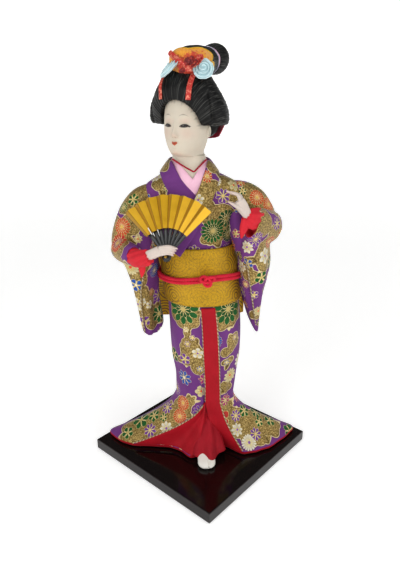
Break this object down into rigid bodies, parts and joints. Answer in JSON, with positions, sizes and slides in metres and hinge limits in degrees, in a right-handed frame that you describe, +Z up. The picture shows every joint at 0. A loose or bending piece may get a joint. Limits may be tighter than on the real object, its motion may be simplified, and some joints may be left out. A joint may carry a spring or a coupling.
{
  "type": "geisha doll",
  "caption": "Dressed geisha display doll in a purple and gold brocade kimono, with an open gilt fan, on a square black lacquered board.",
  "frame": {"origin": "centre of the board's underside", "axes": "+Z up along the doll's height, -Y the way the doll's body faces, -X to the doll's own right; the board stands cornerwise, with its corners on X and Y"},
  "size_m": [0.1698, 0.1698, 0.3029],
  "materials": {
    "lacquer": "black urushi-style gloss lacquer on wood",
    "sock_cotton": "white cotton, matt",
    "moulded_skin": "pale ivory moulded skin, satin, with painted features",
    "hair": "black silk hair thread, combed, soft sheen",
    "brocade": "purple brocade woven with gold clouds and flowers",
    "gold_brocade": "gold brocade with brown overlapping circles",
    "red_silk": "plain crimson silk, fine weave",
    "pink_silk": "plain pink silk, fine weave",
    "red_cord": "braided red silk cord",
    "gilt_paper": "gilt paper, glossy, pleated",
    "black_stick": "gloss black slats",
    "pin_brass": "small brass pin",
    "dyed_cloth": "tie-dyed orange and gold silk crepe",
    "satin": "pale blue satin ribbon",
    "coral_ribbon": "coral ribbon with fine glitter"
  },
  "bodies": {
    "root": {"board": "lacquer", "foot_right": "sock_cotton", "head": "moulded_skin", "hand_right": "moulded_skin", "hand_left": "moulded_skin", "fan_rivet": "pin_brass", "fan_leaf": "gilt_paper", "fan_sticks": "black_stick", "wig": "hair", "topknot": "hair", "topknot_cord": "pink_silk", "topknot_cloth": "dyed_cloth", "bow": "coral_ribbon", "rose_left": "satin", "rose_right": "satin", "bow_tail_left": "coral_ribbon", "bow_tail_right": "coral_ribbon", "nape_ribbon": "red_silk", "bodice": "brocade", "underskirt": "red_silk", "skirt": "brocade", "sash_cord_knot": "red_cord", "sash_cord_upper": "red_cord", "sash_cord_lower": "red_cord", "sash": "gold_brocade", "sash_knot": "gold_brocade", "kimono_collar": "brocade", "under_collar": "pink_silk", "collar_piping": "red_silk", "cuff_right": "red_silk", "cuff_left": "red_silk", "lining_right": "red_silk", "lining_left": "red_silk", "sleeve_right": "brocade", "sleeve_left": "brocade"}
  },
  "joints": []
}
